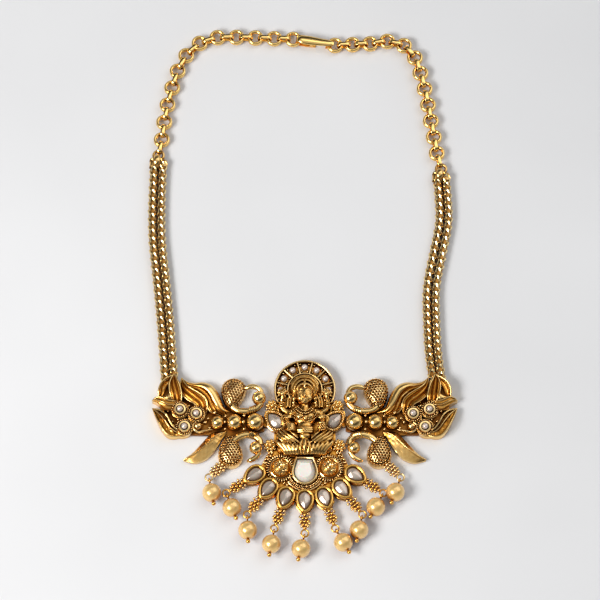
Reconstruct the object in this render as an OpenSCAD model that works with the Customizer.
// Temple jewellery necklace, lying flat as on a table: a medallion with a seated
// figure on a lotus, two peacock wings, nine pearl drops, woven strands and a
// ring chain closed by a hook. Millimetres, +Z up, +Y towards the clasp.

/* [Medallion] */
// Thickness of the back plate of the medallion and wings
plate_t = 1.4; // [1.2:0.1:2]
// Outer diameter of the halo behind the figure
halo_d = 20.6; // [18.5:0.1:22]
// Wall thickness of the halo's rims and ribs
halo_wall = 0.55; // [0.4:0.05:0.8]
// Height of the halo's outer rim above the back
halo_h = 3.4; // [2.8:0.1:4]
// Outer diameter of the inner rim, which frames the head
halo_field_d = 12; // [11.6:0.1:12.4]
// Number of small pearls around the halo
halo_pearl_count = 7; // [5:1:7]
// Diameter of a small halo pearl
halo_pearl_d = 2.2; // [1.8:0.1:2.6]

/* [Fan of stones] */
// Distance from the lotus centre to the round end of each fan stone
fan_r = 19.4; // [19:0.1:21]
// Number of stones in the fan
fan_count = 7; // [5:2:7]
// Angle between neighbouring stones
fan_step = 18.7; // [18:0.1:20]
// Width of a drop-shaped stone
stone_w = 4.6; // [4:0.1:4.8]
// Length of a drop-shaped stone
stone_l = 6.5; // [5.8:0.1:7.2]
// Height of a cabochon above its seat
stone_h = 2.1; // [1.6:0.1:2.6]
// Wall thickness of a stone's bezel
bezel_wall = 0.7; // [0.5:0.05:0.9]
// Height of a bezel above the back
bezel_h = 3.2; // [2.6:0.1:3.8]

/* [Centre stone] */
// Width of the flat-topped centre stone
centre_w = 7.3; // [6.5:0.1:7.6]
// Length of the centre stone
centre_l = 8; // [7.4:0.1:8.6]
// Height of the centre stone above its seat
centre_h = 2.2; // [1.6:0.1:2.8]
// Distance from the lotus centre down to the centre stone's middle
centre_drop = 9.9; // [9.6:0.1:10.6]
// Diameter of a chased dome
dome_d = 6.6; // [6:0.1:7]
// Distance of each dome from the middle line
dome_x = 8.1; // [7.9:0.1:8.6]
// Diameter of the twisted wire round the domes and the centre stone
rope_d = 0.9; // [0.6:0.1:1.1]

/* [Side stones] */
// Distance of each side stone from the middle line
side_x = 9.3; // [9.2:0.1:9.6]
// Distance of the side stones above the lotus centre
side_rise = 7.1; // [7:0.1:7.6]

/* [Figure] */
// Height of the figure with its lotus, from the lotus rim to the top of the crown
figure_h = 28.6; // [26:0.1:28.8]
// Depth of the figure's relief in front of the plate
figure_relief = 5.8; // [5:0.1:7]

/* [Wings] */
// Reach of a wing from the middle line to its outer tip
wing_reach = 51.4; // [50:0.1:54]
// Diameters of the three balls, inner to outer
ball_d1 = 6; // [5.4:0.1:6.2]
// Diameter of the middle ball
ball_d2 = 5.4; // [5:0.1:5.8]
// Diameter of the outer ball
ball_d3 = 4.7; // [4.2:0.1:5.2]
// Width of a peacock's granulated body
peacock_w = 8.2; // [7.4:0.1:8.8]
// Height of the wing's tallest relief above the back
wing_h = 5; // [4.4:0.1:5.6]
// Diameter of a floret with its milled edge
floret_d = 5; // [4.6:0.1:5.2]
// Diameter of a floret's pearl
floret_pearl_d = 2.1; // [1.7:0.1:2.3]

/* [Pearl drops] */
// Diameter of a hanging pearl
pearl_d = 6.4; // [5.6:0.1:6.6]
// Diameter of the wire through a pearl
pin_wire = 0.6; // [0.5:0.05:0.8]
// Diameter of the head that stops the pearl
pin_head_d = 1.5; // [1.2:0.1:1.9]
// Diameter of one granule in a grape cluster
granule_d = 1.3; // [1.1:0.05:1.45]
// Inner diameter of the loop under a cluster
loop_hole_d = 1.8; // [1.7:0.05:2.2]

/* [Woven strands] */
// Diameter of one woven strand
strand_d = 2.8; // [2.4:0.1:3]
// Gap between the two strands of a side
strand_gap = 0.3; // [0.2:0.05:0.5]
// Wall of the caps and sockets that hold the strand ends
socket_wall = 0.5; // [0.4:0.05:0.7]
// Depth of a strand's end in its cap or socket
socket_depth = 2.4; // [2:0.1:3]

/* [Ring chain] */
// Number of rings on each side
rings_per_side = 12; // [11:1:12]
// Outer diameter of a ring
ring_d = 5.6; // [5.2:0.1:5.8]
// Diameter of each of the two wires that a ring is made of
ring_wire = 1.05; // [0.95:0.05:1.1]
// How far a ring leans over where the chain runs up the sides
ring_lean = 4; // [0:1:5]
// Inner length of the strap link between two rings
link_l = 4.2; // [4:0.1:4.6]
// Inner height of a strap link
link_h = 2.4; // [2.3:0.1:2.8]
// Thickness of a strap link
link_t = 0.45; // [0.35:0.05:0.6]
// Width of a strap link
link_w = 1.5; // [1.2:0.1:1.6]

/* [Hook] */
// Width of the hook at its closed end
hook_w = 2.6; // [2:0.1:2.8]
// Width of the hook at its open end
hook_tip_w = 1.5; // [1.2:0.1:2]
// Thickness of the hook's strip
hook_t = 0.6; // [0.4:0.1:0.7]

/* [Hidden] */
$fn = 48;
gap = 0.1; // clearance between pieces that sit in or on each other
sink = 0.3; // how deep soldered pieces run into each other
gold = "#c8963c";
pale_gold = "#e0b860";
cream_pearl = "#efd9a8";
grey_pearl = "#cfc8c4";
milky = "#efece0";

// Middle lines of the strands and the rings, upwards from the wing, measured from the lotus
// centre on the right and, mirrored, on the left: a few points chosen by hand for each side.
strand_routes = [[[45.232, 19.122], [45.9, 26], [47.2, 42], [48.9, 58.6], [50.4, 72], [50.8, 84], [50.4, 101.4]],
    [[45.232, 19.122], [43.6, 31], [43, 44], [43.2, 56], [45.6, 68.6], [47.6, 79], [47.6, 88], [47, 96.4]]];
ring_routes = [[[49.4, 110], [47.8, 122], [44.8, 134], [42.4, 140], [38.6, 145], [33.4, 148], [26, 148.8], [4, 148]],
    [[45.6, 105], [43.7, 117], [41.8, 128.6], [39, 139.4], [36, 144.7], [30, 147.2], [24, 146.4], [10.6, 145.7]]];
strand_steps = 5; // rings of points on each stretch of a strand's route
drop_lay = [10, 20, 2, -10, -13, 28, -12, -27, -19]; // how each drop lies, degrees from straight down

// Derived sizes of the fan and its clusters
bezel_w = stone_w + 2 * (gap + bezel_wall);
bezel_l = stone_l + 2 * gap + 2.6 * bezel_wall; // the wall at the point is longer than at the flank
bezel_floor = bezel_h - stone_h * 0.75;
tip_r = fan_r + bezel_l - bezel_w / 2;
fan_edge = (fan_count - 1) / 2 * fan_step;
cluster_rows = [1, 2, 3, 2, 1];
granule_pitch = granule_d * 0.88;
cluster_z = bezel_h - granule_d / 2;
loop_r = (loop_hole_d + pin_wire) / 2; // to the middle of the loop's wire
loop_s = granule_d / 4 + (len(cluster_rows) - 1) * granule_pitch + granule_d / 2 + loop_r - pin_wire * 0.1;
fan_loop_r = tip_r + loop_s;

// Derived sizes of a pearl drop, along its own line from the wire that it hangs on
eye_r = pin_wire * 1.3;
pearl_s = eye_r + pin_wire / 2 + gap * 2 + pearl_d / 2;
head_s = pearl_s + pearl_d / 2 + gap + pin_head_d / 2;
drop_rise = asin((pearl_d / 2 + gap - cluster_z) / pearl_s);

// Derived places of the hidden pins and of the figure
lug_h = plate_t * 1.6;
wing_pin_d = lug_h * 0.36;
wing_from = side_x + bezel_w / 2 + 1.3; // where a wing begins
wing_pin_from = side_x + bezel_w / 2 - bezel_wall + 0.2;
wing_pin_l = ball_d1 / 2 + wing_from - wing_pin_from;
figure_base = plate_t + gap;
head_share = 0.818; // of the figure's height, where the halo is centred
rim_y = -centre_drop + centre_l / 2 + 2 * gap + bezel_wall + 0.2;
halo_rise = rim_y + figure_h * head_share; // middle of the halo
rosette_rise = halo_rise - halo_d * 0.27; // of the rosettes on the plate's edge beside the head
rosette_x = side_x + 1 + (halo_d * 0.4 - side_x - 1) * (rosette_rise - side_rise) / (halo_rise - side_rise)
    + granule_pitch + granule_d * 0.413;
post_d = 1.6;
post_places = [0.14, 0.46]; // of the figure's height, from the lotus rim
halo_cell_r = (halo_d / 2 - halo_wall + halo_field_d / 2) / 2 + 0.2;
halo_step = 180 / (halo_pearl_count - 1);

// Derived sizes of the strands and the ring chain
strand_offset = (strand_d + strand_gap) / 2;
socket_w = 2 * strand_d + strand_gap + 2 * (gap + socket_wall);
socket_h = strand_d + 2 * (gap + socket_wall);
ring_mid_r = (ring_d - ring_wire) / 2;
ring_z = link_h / 2 + max(link_t, hook_t);

floret_top = wing_h * 0.86;

// Wing features as shares of the reach: outward from the middle line, then up from the lotus centre
wing_level = 0.1381; // share of the reach at which the spine of balls lies
strand_start = wing_spot([0.88, 0.372]);
ball_places = [0.324, 0.459, 0.571];
upper_body = [[0.463, 0.36], [0.49, 0.245]]; // middle of the round end, then the narrow end
lower_body = [[0.482, -0.084], [0.47, 0.045]];
upper_head = [0.3, 0.302];
lower_head = [0.319, -0.035];
florets = [[0.708, 0.193], [0.815, 0.222], [0.785, 0.103]];
wing_drop_angle = 45; // how far the wing's grape cluster turns outward from straight down
wing_loop_turn = 0.7; // steps of the fan from its last loop to the wing's
wing_loop_out = 2.69; // how much further out than the fan's loops
wing_loop_angle = ((fan_count - 1) / 2 + wing_loop_turn) * fan_step;
wing_loop = (fan_loop_r + wing_loop_out) * [sin(wing_loop_angle), -cos(wing_loop_angle)];
wing_drop_from = wing_loop + loop_s * [-sin(wing_drop_angle), cos(wing_drop_angle)]; // where that cluster starts
// columns: outward, up and width as shares of the reach, height as a share of wing_h
upper_neck = [[0.49, 0.25, 0.046, 0.62], [0.44, 0.23, 0.042, 0.62], [0.36, 0.228, 0.036, 0.6], [0.295, 0.256, 0.034, 0.6], [0.29, 0.3, 0.04, 0.6]];
upper_crest = [[0.296, 0.33, 0.03, 0.62], [0.31, 0.368, 0.028, 0.6], [0.345, 0.384, 0.026, 0.58], [0.405, 0.376, 0.026, 0.56]];
lower_neck = [[0.465, 0.03, 0.04, 0.6], [0.41, 0.05, 0.038, 0.6], [0.35, 0.046, 0.036, 0.56], [0.306, 0.01, 0.036, 0.54], [0.31, -0.03, 0.04, 0.5]];
lower_beak = [[0.305, -0.05, 0.034, 0.5], [0.322, -0.088, 0.03, 0.46], [0.352, -0.112, 0.022, 0.4], [0.42, -0.118, 0.018, 0.36]];
shell_leaf = [[0.47, 0.21, 0.03, 0.5], [0.53, 0.28, 0.06, 0.66], [0.595, 0.346, 0.09, 0.76], [0.665, 0.374, 0.09, 0.72], [0.74, 0.378, 0.06, 0.62], [0.806, 0.424, 0.012, 0.5]];
feather = [[0.62, 0.2, 0.05, 0.6], [0.65, 0.26, 0.08, 0.74], [0.7, 0.31, 0.09, 0.8], [0.76, 0.344, 0.06, 0.8], [0.8, 0.4, 0.012, 0.8]];
flame_inner = [[0.79, 0.27, 0.06, 0.98], [0.815, 0.33, 0.07, 1], [0.815, 0.39, 0.05, 1], [0.835, 0.458, 0.012, 0.94]];
flame_outer = [[0.868, 0.27, 0.06, 0.98], [0.915, 0.33, 0.054, 1], [0.92, 0.38, 0.04, 1], [0.95, 0.425, 0.012, 0.9]];
flame_side = [[0.85, 0.24, 0.04, 0.7], [0.912, 0.262, 0.056, 0.8], [0.958, 0.29, 0.04, 0.66], [0.998, 0.285, 0.01, 0.5]];
petal = [[0.735, 0.056, 0.03, 0.5], [0.825, 0.046, 0.06, 0.66], [0.89, 0.08, 0.07, 0.7], [0.942, 0.142, 0.055, 0.66], [0.978, 0.21, 0.01, 0.5]];
sickle_leaf = [[0.5, 0.085, 0.03, 0.5], [0.576, 0.03, 0.075, 0.6], [0.65, -0.045, 0.092, 0.66], [0.716, -0.092, 0.074, 0.55], [0.79, -0.116, 0.01, 0.36]];
// outline of the wing's back plate, outward and up
spine_plate = [[0.46, 0.03], [0.56, 0.05], [0.62, 0.05], [0.74, 0.04], [0.84, 0.05], [0.9, 0.1], [0.93, 0.2], [0.93, 0.29],
    [0.8, 0.33], [0.68, 0.33], [0.6, 0.3], [0.53, 0.25], [0.42, 0.225]];

// Figure features as shares of its height: outward, up from the lotus rim, radius; then the
// middle's depth as a share of the relief. Each row is the two ends of one rounded limb.
figure_limbs = [
    [[0, 0.76, 0.105, 0.56], [0, 0.8, 0.11, 0.56]], // head
    [[0, 0.81, 0.15, 0.3], [0, 0.84, 0.13, 0.4]], // hair
    [[0, 0.86, 0.1, 0.5], [0, 0.96, 0.028, 0.4]], // crown
    [[0, 0.62, 0.07, 0.42], [0, 0.7, 0.065, 0.42]], // neck
    [[0, 0.57, 0.125, 0.4], [0, 0.42, 0.1, 0.4]], // trunk
    [[0, 0.24, 0.068, 0.4], [0, 0.06, 0.05, 0.32]]]; // middle petal
// the same, for pairs that stand on both sides
figure_pairs = [
    [[0.09, 0.59, 0.075, 0.4], [0.15, 0.575, 0.052, 0.36]], // shoulder
    [[0.16, 0.57, 0.045, 0.34], [0.195, 0.47, 0.04, 0.3]], // upper arm
    [[0.195, 0.47, 0.04, 0.34], [0.19, 0.36, 0.04, 0.62]], // front arm
    [[0.19, 0.36, 0.04, 0.62], [0.18, 0.31, 0.05, 0.62]], // front hand
    [[0.14, 0.585, 0.04, 0.4], [0.225, 0.66, 0.034, 0.58]], // rear arm
    [[0.225, 0.66, 0.034, 0.58], [0.245, 0.71, 0.03, 0.64]], // rear hand
    [[0.25, 0.745, 0.055, 0.66], [0.27, 0.775, 0.04, 0.66]], // flower
    [[0.05, 0.39, 0.085, 0.5], [0.185, 0.335, 0.06, 0.46]], // thigh
    [[0.185, 0.335, 0.055, 0.46], [0.03, 0.315, 0.05, 0.72]], // shin
    [[0.115, 0.2, 0.065, 0.34], [0.085, 0.055, 0.05, 0.28]], // inner petal
    [[0.22, 0.2, 0.062, 0.3], [0.16, 0.053, 0.05, 0.24]], // outer petal
    [[0.3, 0.245, 0.042, 0.26], [0.19, 0.26, 0.055, 0.36]], // lotus shoulder
    [[0.2, 0.265, 0.05, 0.42], [0.02, 0.26, 0.07, 0.46]]]; // lotus top
side_names = ["left", "right"];

// Points of a smooth curve through a list of points of any length, with n steps a stretch
function smooth(p, n) = concat([for (i = [0 : len(p) - 2], k = [0 : n - 1])
    let (a = p[max(i - 1, 0)], b = p[i], c = p[i + 1], d = p[min(i + 2, len(p) - 1)], t = k / n)
    0.5 * (2 * b + (c - a) * t + (2 * a - 5 * b + 4 * c - d) * t * t + (3 * b - 3 * c + d - a) * t * t * t)],
    [p[len(p) - 1]]);
// Distance along a path to each of its points
function distances(p) = [for (i = 0, s = 0; i < len(p); s = s + (i + 1 < len(p) ? norm(p[i + 1] - p[i]) : 0), i = i + 1) s];
// The point at distance s along a path whose distances are d
function point_at(p, d, s) = [for (k = [0, 1]) lookup(s, [for (i = [0 : len(p) - 1]) [d[i], p[i][k]]])];
function heading(v) = atan2(v[1], v[0]);
function path_heading(p, i) = heading(p[min(i + 1, len(p) - 1)] - p[max(i - 1, 0)]);
function right(p) = [for (v = p) [-v[0], v[1]]];
// A place on the wing from its shares of the reach
function wing_spot(p) = [p[0] * wing_reach, side_rise + (p[1] - wing_level) * wing_reach];

// Outline of a drop-shaped stone, round end at the origin, point towards -Y
function drop_flank(w, l, t) = [w / 2 * pow(1 - t, 0.8) * (1 + 0.9 * t), -(l - w / 2) * t];
function drop_outline(w, l) = concat([for (a = [180 : -15 : 0]) w / 2 * [cos(a), sin(a)]],
    [for (t = [0.2, 0.4, 0.6, 0.8, 0.93, 1]) drop_flank(w, l, t)],
    [for (t = [0.93, 0.8, 0.6, 0.4, 0.2]) let (p = drop_flank(w, l, t)) [-p[0], p[1]]]);
// Outline of the centre stone: round, with a flat cut at the top
function centre_outline(w, l) = concat([for (a = [20 : -20 : -200]) [w / 2 * cos(a), (l - w / 2) * 0.88 * sin(a) - l * 0.04]],
    [[-w * 0.34, l / 2], [w * 0.34, l / 2]]);

// A closed skin over a stack of rings that have as many points each
module skin(rings) {
    m = len(rings[0]);
    n = len(rings);
    polyhedron(points = [for (r = rings, p = r) p], faces = concat(
        [for (i = [0 : n - 2], k = [0 : m - 1]) let (a = i * m + k, b = i * m + (k + 1) % m) [a, b, b + m]],
        [for (i = [0 : n - 2], k = [0 : m - 1]) let (a = i * m + k, b = i * m + (k + 1) % m) [a, b + m, a + m]],
        [[for (k = [m - 1 : -1 : 0]) k]], [[for (k = [0 : m - 1]) (n - 1) * m + k]]));
}

// A leaf, flame or neck with a flat back at base_z and an arched front, from a table of shares
module relief(table, base_z, steps = 2) {
    path = smooth(table, steps);
    m = 6;
    skin([for (i = [0 : len(path) - 1]) let (p = path[i], a = path_heading(path, i), w = p[2] * wing_reach, h = p[3] * wing_h - base_z)
        [for (k = [0 : m]) let (f = 180 * k / m)
            concat(wing_spot(p) + w / 2 * cos(f) * [sin(a), -cos(a)], [base_z + h * sin(f)])]]);
}

module grape_cluster() {
    for (r = [0 : len(cluster_rows) - 1], k = [0 : cluster_rows[r] - 1])
        translate([(k - (cluster_rows[r] - 1) / 2) * granule_pitch, -granule_d / 4 - r * granule_pitch, cluster_z])
            rotate(31) sphere(d = granule_d);
    translate([0, -loop_s, cluster_z]) rotate_extrude() translate([loop_r, 0]) circle(d = pin_wire);
}

module rosette() {
    for (a = [0 : 60 : 359]) rotate(a) translate([granule_pitch, 0, 0]) cylinder(d = granule_d, h = bezel_h * 0.85);
    cylinder(d = granule_d, h = bezel_h);
}

module bezel(outer, inner) {
    difference() {
        linear_extrude(bezel_h) polygon(outer);
        translate([0, 0, bezel_floor]) linear_extrude(bezel_h) polygon(inner);
    }
}

module drop_bezel() bezel(drop_outline(bezel_w, bezel_l), drop_outline(stone_w + 2 * gap, stone_l + 2 * gap));
module fan_place(i) rotate((i - (fan_count + 1) / 2) * fan_step) translate([0, -fan_r, 0]) children();
module side_place(s) translate([s * side_x, side_rise, 0]) rotate(s * 135) children();
module centre_place() translate([0, -centre_drop, 0]) children();
module sided(s) mirror([s < 0 ? 1 : 0, 0, 0]) children();

module halo_ribs() {
    difference() {
        cylinder(d = halo_d, h = halo_h);
        translate([0, 0, plate_t]) cylinder(d = halo_d - 2 * halo_wall, h = halo_h);
    }
    translate([0, 0, plate_t - sink]) difference() {
        cylinder(d = halo_field_d, h = halo_h - plate_t);
        translate([0, 0, -1]) cylinder(d = halo_field_d - 2 * halo_wall, h = halo_h + 2);
    }
    for (k = [0 : halo_pearl_count])
        rotate((k - 0.5) * halo_step) translate([(halo_field_d - halo_wall) / 2, -halo_wall / 2, plate_t - sink])
            cube([(halo_d - halo_field_d) / 2, halo_wall, halo_h - plate_t]);
}

module halo() {
    difference() {
        halo_ribs();
        translate([-halo_d, -2 * halo_d - halo_field_d * 0.4, plate_t]) cube([2 * halo_d, 2 * halo_d, halo_h]);
    }
}

module chased_dome() {
    intersection() {
        translate([0, 0, bezel_h * 0.3]) sphere(d = dome_d * 1.05);
        cylinder(d = dome_d, h = bezel_h * 3);
    }
    cylinder(d = dome_d + rope_d, h = plate_t + rope_d / 2);
    translate([0, 0, plate_t + rope_d / 2]) rotate_extrude() translate([dome_d / 2 + rope_d * 0.4, 0]) circle(d = rope_d);
}

module wing_pin_place() translate([wing_pin_from, side_rise, lug_h / 2]) rotate([0, 90, 0]) children();

module medallion_plate() {
    linear_extrude(plate_t) polygon(concat(
        [for (k = [-8 : 8]) let (a = k / 8 * (fan_edge + 3)) (fan_r - stone_w * 0.35) * [sin(a), -cos(a)]],
        [[side_x + 1, 1], [side_x + 1, side_rise], [halo_d * 0.4, halo_rise], [-halo_d * 0.4, halo_rise],
            [-side_x - 1, side_rise], [-side_x - 1, 1]]));
}

module medallion() {
    color(gold) difference() {
        union() {
            medallion_plate();
            translate([0, halo_rise, 0]) halo();
            for (i = [1 : fan_count]) fan_place(i) {
                drop_bezel();
                translate([0, fan_r - tip_r, 0]) grape_cluster();
            }
            for (s = [-1, 1]) {
                side_place(s) drop_bezel();
                translate([s * dome_x, -centre_drop + dome_d * 0.17, 0]) chased_dome();
                for (p = [[rosette_x, rosette_rise], [side_x * 1.24, -side_rise * 0.12]])
                    translate([s * p[0], p[1], 0]) rosette();
                sided(s) translate([side_x, side_rise - lug_h / 2, 0]) cube([wing_from - gap - side_x, lug_h, lug_h]);
            }
            centre_place() {
                bezel(centre_outline(centre_w + 2 * (gap + bezel_wall), centre_l + 2 * (gap + bezel_wall)),
                    centre_outline(centre_w + 2 * gap, centre_l + 2 * gap));
                translate([0, 0, plate_t]) rotate(205) rotate_extrude(angle = 130)
                    translate([centre_l / 2 + bezel_wall + rope_d, 0]) circle(d = rope_d);
            }
            for (u = post_places) translate([0, rim_y + u * figure_h, 0]) cylinder(d = post_d, h = figure_base + post_d);
        }
        for (s = [-1, 1]) sided(s) wing_pin_place() cylinder(d = wing_pin_d + 2 * gap, h = wing_pin_l);
    }
}

module drop_stone() {
    l = stone_l - stone_w;
    dome = stone_h * 0.75;
    dome_r = (pow(stone_l / 2, 2) + dome * dome) / (2 * dome);
    translate([0, 0, bezel_floor + gap]) intersection() {
        linear_extrude(stone_h * 2) polygon(drop_outline(stone_w, stone_l));
        translate([0, -l / 2, stone_h - dome_r]) sphere(r = dome_r, $fn = 96);
    }
}

module centre_stone() {
    color(milky) centre_place() translate([0, 0, bezel_floor + gap]) hull() {
        linear_extrude(centre_h * 0.45) polygon(centre_outline(centre_w, centre_l));
        linear_extrude(centre_h) polygon(centre_outline(centre_w * 0.62, centre_l * 0.62));
    }
}

module side_stone(s) color(grey_pearl) side_place(s) drop_stone();
module fan_stone(i) color(grey_pearl) fan_place(i) drop_stone();

module halo_pearls() {
    color(cream_pearl) for (k = [0 : halo_pearl_count - 1])
        translate([0, halo_rise, 0]) rotate(k * halo_step) translate([halo_cell_r, 0, plate_t + gap + halo_pearl_d / 2])
            sphere(d = halo_pearl_d);
}

module limb(row) {
    hull() for (e = row)
        translate([e[0] * figure_h, rim_y + e[1] * figure_h, figure_base + e[3] * figure_relief]) sphere(r = e[2] * figure_h, $fn = 12);
}

module figure_solid() {
    difference() {
        union() {
            for (row = figure_limbs) limb(row);
            for (row = figure_pairs, s = [-1, 1]) sided(s) limb(row);
        }
        translate([-figure_h, -figure_h, figure_base - figure_h]) cube([figure_h * 2, figure_h * 3, figure_h]);
    }
}

module figure() {
    color(gold) difference() {
        figure_solid();
        for (u = post_places) translate([0, rim_y + u * figure_h, figure_base - 1]) cylinder(d = post_d + 2 * gap, h = 1 + post_d + gap);
    }
}

module at_share(p) translate(wing_spot(p)) children();
module ball(x, d) translate([x * wing_reach, side_rise, d / 2 + 0.2]) rotate(31) sphere(d = d);

module peacock_body(ends) {
    hull() {
        at_share(ends[0]) {
            cylinder(d = peacock_w * 0.86, h = 1, $fn = 20);
            translate([0, 0, wing_h * 0.5]) scale([1, 1, 0.6]) sphere(d = peacock_w, $fn = 20);
        }
        at_share(ends[1]) cylinder(d1 = peacock_w * 0.42, d2 = peacock_w * 0.3, h = wing_h * 0.6, $fn = 12);
    }
}

module bird_head(place, d) {
    at_share(place) {
        translate([0, 0, wing_h * 0.64]) rotate(31) sphere(d = d);
        cylinder(d = d * 0.8, h = wing_h * 0.64);
    }
}

// A floret's round seat, joined to the first one by a raised field
module floret_rim(p) {
    v = wing_reach * (florets[0] - p);
    at_share(p) {
        cylinder(d = floret_d, h = floret_top);
        rotate(heading(v)) translate([0, -floret_d * 0.45, 0]) cube([norm(v) + 0.01, floret_d * 0.9, wing_h * 0.4]);
    }
}

module strand_socket() {
    translate([strand_start[0] - socket_w / 2, strand_start[1] - wing_h * 1.6, 0]) cube([socket_w, wing_h * 1.6 + socket_depth, socket_h]);
}

// Stem that carries the wing's grape cluster out of the lower peacock
module wing_drop_stem(v) translate(concat(wing_spot(lower_body[0]), [cluster_z])) rotate(heading(v)) rotate([0, 90, 0])
    cylinder(d = granule_d * 0.8, h = norm(v));

module wing_solid() {
    linear_extrude(plate_t)
        polygon(concat([[wing_from, side_rise - ball_d1 * 0.42]], [for (p = spine_plate) wing_spot(p)], [[wing_from, side_rise + ball_d1 * 0.42]]));
    ball(ball_places[0], ball_d1);
    ball(ball_places[1], ball_d2);
    ball(ball_places[2], ball_d3);
    translate([wing_from, side_rise - lug_h / 2, 0]) cube([ball_d1, lug_h, lug_h]);
    peacock_body(upper_body);
    peacock_body(lower_body);
    bird_head(upper_head, ball_d1 * 0.74);
    bird_head(lower_head, ball_d1 * 0.68);
    for (t = [upper_neck, upper_crest, lower_neck, lower_beak, shell_leaf, feather, flame_side, petal, sickle_leaf]) relief(t, 0);
    for (t = [flame_inner, flame_outer]) relief(t, socket_h - sink);
    for (p = florets) floret_rim(p);
    strand_socket();
    translate(wing_drop_from) rotate(wing_drop_angle) grape_cluster();
    wing_drop_stem(wing_drop_from - wing_spot(lower_body[0]));
}

module wing(s) {
    color(gold) sided(s) difference() {
        wing_solid();
        wing_pin_place() cylinder(d = wing_pin_d + 2 * gap, h = wing_pin_l + gap);
        for (p = florets) at_share(p) translate([0, 0, floret_top - floret_pearl_d / 2])
            cylinder(d = floret_pearl_d + 2 * gap, h = floret_pearl_d);
        for (k = [-1, 1]) translate([strand_start[0] + k * strand_offset, strand_start[1], socket_wall + gap + strand_d / 2])
            rotate([-90, 0, 0]) cylinder(d = strand_d + 2 * gap, h = socket_depth * 2);
    }
}

module wing_pin(s) color(gold) sided(s) wing_pin_place() translate([0, 0, gap]) cylinder(d = wing_pin_d, h = wing_pin_l - gap);

module floret_pearls(s) {
    color(cream_pearl) sided(s) for (p = florets) at_share(p) translate([0, 0, floret_top + gap]) sphere(d = floret_pearl_d);
}

// Where drop d hangs: the wire at the bottom of its loop, lying at its own angle
function drop_fan_angle(d) = (d - 1 - (fan_count + 1) / 2) * fan_step;
function drop_loop(d) = d == 1 ? [-wing_loop[0], wing_loop[1]] : d == fan_count + 2 ? wing_loop
    : fan_loop_r * [sin(drop_fan_angle(d)), -cos(drop_fan_angle(d))];module drop_place(d) {
    p = drop_loop(d);
    translate([p[0], p[1], cluster_z]) rotate(drop_lay[d - 1]) translate([0, -loop_r, 0]) rotate([90 - drop_rise, 0, 0]) children();
}

module drop_pearl(d) {
    color(cream_pearl) drop_place(d) translate([0, 0, pearl_s]) difference() {
        sphere(d = pearl_d);
        translate([0, 0, -pearl_d]) cylinder(d = pin_wire + 2 * gap, h = 2 * pearl_d);
    }
}

module drop_pin(d) {
    color(pale_gold) drop_place(d) {
        rotate([0, 90, 0]) rotate_extrude() translate([eye_r, 0]) circle(d = pin_wire);
        translate([0, 0, eye_r]) cylinder(d = pin_wire * 0.98, h = head_s - eye_r);
        translate([0, 0, head_s]) sphere(d = pin_head_d);
    }
}

// Middle line of a side's strands in plan, s being -1 on the left and 1 on the right
function side_line(routes, s) = let (r = routes[s < 0 ? 0 : 1]) s < 0 ? right(r) : r;
function strand_line(s) = let (r = strand_routes[s < 0 ? 0 : 1], n = len(r) - 1,
    m = concat([strand_start + [0, gap]], [for (i = [1 : n]) r[i] + (strand_start - r[0]) * (1 - i / n)]))
    smooth(s < 0 ? right(m) : m, strand_steps);

module strand(s, k) {
    line = strand_line(s);
    n = len(line);
    d = distances(line);
    rise = socket_wall + gap;
    color(pale_gold) skin([for (i = [0 : n - 1]) let (a = i == 0 || i == n - 1 ? 90 : path_heading(line, i),
            z = strand_d / 2 + rise * max(1 - d[i] / 9, 1 - (d[n - 1] - d[i]) / 9, 0),
            c = line[i] + k * strand_offset * [sin(a), -cos(a)])
        [for (j = [0 : 9]) let (f = 36 * j) [c[0] + sin(a) * strand_d / 2 * cos(f), c[1] - cos(a) * strand_d / 2 * cos(f), z + strand_d / 2 * sin(f)]]]);
}

// The cap over a side's strand ends, with the eye that the first strap link goes through
function cap_end(s) = let (r = side_line(strand_routes, s)) r[len(r) - 1];
module end_cap(s) {
    z = socket_wall + gap + strand_d / 2;
    color(gold) translate([cap_end(s)[0], cap_end(s)[1], 0]) {
        difference() {
            union() {
                translate([-socket_w / 2, -socket_depth, 0]) cube([socket_w, socket_depth + 1.4, socket_h]);
                translate([0, 1.4 + ring_mid_r * 0.55, z]) rotate_extrude() translate([ring_mid_r * 0.75, 0]) circle(d = ring_wire);
            }
            for (k = [-1, 1]) translate([k * strand_offset, -socket_depth * 2, z])
                rotate([-90, 0, 0]) cylinder(d = strand_d + 2 * gap, h = socket_depth * 2 + gap);
        }
    }
}

// Stations of a side's rings, evenly along the route, from the cap to the clasp
function ring_stations(s) = let (p = smooth(side_line(ring_routes, s), 8), d = distances(p), l = d[len(d) - 1])
    [for (i = [0 : rings_per_side - 1]) point_at(p, d, i * l / (rings_per_side - 1))];
function cap_eye(s) = cap_end(s) + [0, 1.4 + ring_mid_r * 0.55];

module ring() rotate_extrude() for (k = [-1, 1]) translate([ring_mid_r, k * ring_wire * 0.35]) circle(d = ring_wire);

// An outline with round ends between two places along X
module slot(from, to, d) {
    for (x = [from, to]) translate([x, 0]) circle(d = d);
    translate([from, -d / 2]) square([to - from, d]);
}

// A flat strap bent into a long loop that stands on edge, middle at the origin, along X
module strap(l, h, w, t) {
    rotate([90, 0, 0]) translate([0, 0, -w / 2]) linear_extrude(w) difference() {
        slot(-(l - h) / 2, (l - h) / 2, h + 2 * t);
        slot(-(l - h) / 2, (l - h) / 2, h);
    }
}

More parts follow.
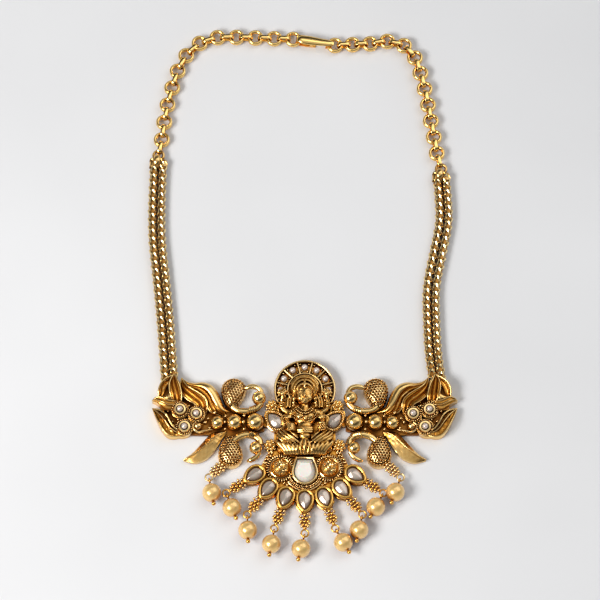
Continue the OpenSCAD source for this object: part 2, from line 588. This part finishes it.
module ring_chain(s) {
    p = ring_stations(s);
    color(pale_gold) {
        for (i = [0 : rings_per_side - 1]) let (a = path_heading(p, i), lean = ring_lean * pow(sin(a), 2))
            translate([p[i][0], p[i][1], ring_z]) rotate(a) rotate([0, lean, 0]) ring();
        for (i = [0 : rings_per_side - 1]) let (from = i == 0 ? cap_eye(s) : p[i - 1], v = p[i] - from, m = (p[i] + from) / 2)
            translate([m[0], m[1], ring_z]) rotate(heading(v)) strap(link_l, link_h, link_w, link_t);
    }
}

// The hook's side view: a closed eye, a long upper strip and an open end that turns back under it
module clasp_hook() {
    a = ring_stations(-1)[rings_per_side - 1];
    b = ring_stations(1)[rings_per_side - 1];
    v = b - a;
    reach = (ring_d / 2 - ring_wire) * 0.9;
    l = norm(v) - 2 * reach;
    color(pale_gold) translate([a[0], a[1], ring_z]) rotate(heading(v)) translate([reach, 0, 0]) intersection() {
        rotate([90, 0, 0]) translate([0, 0, -hook_w]) linear_extrude(2 * hook_w) difference() {
            slot(link_h / 2, l - link_h / 2, link_h + 2 * hook_t);
            slot(link_h / 2, l * 0.3, link_h);
            slot(l * 0.3 + link_h + hook_t, l - link_h / 2, link_h);
            translate([l * 0.3 + link_h + hook_t, -link_h / 2 - hook_t * 2]) square([l * 0.7 - 1.7 * link_h - hook_t, link_h / 2 + hook_t * 2]);
        }
        linear_extrude(4 * link_h, center = true) polygon([[-hook_t * 2, hook_w / 2], [l * 0.3, hook_w / 2], [l + hook_t * 2, hook_tip_w / 2],
            [l + hook_t * 2, -hook_tip_w / 2], [l * 0.3, -hook_w / 2], [-hook_t * 2, -hook_w / 2]]);
    }
}

medallion();
figure();
centre_stone();
halo_pearls();
for (i = [1 : fan_count]) fan_stone(i);
for (d = [1 : fan_count + 2]) {
    drop_pearl(d);
    drop_pin(d);
}
for (s = [-1, 1]) let (name = side_names[s < 0 ? 0 : 1]) {
    side_stone(s);
    wing(s);
    wing_pin(s);
    floret_pearls(s);
    strand(s, -s);
    strand(s, s);
    end_cap(s);
    ring_chain(s);
}
clasp_hook();
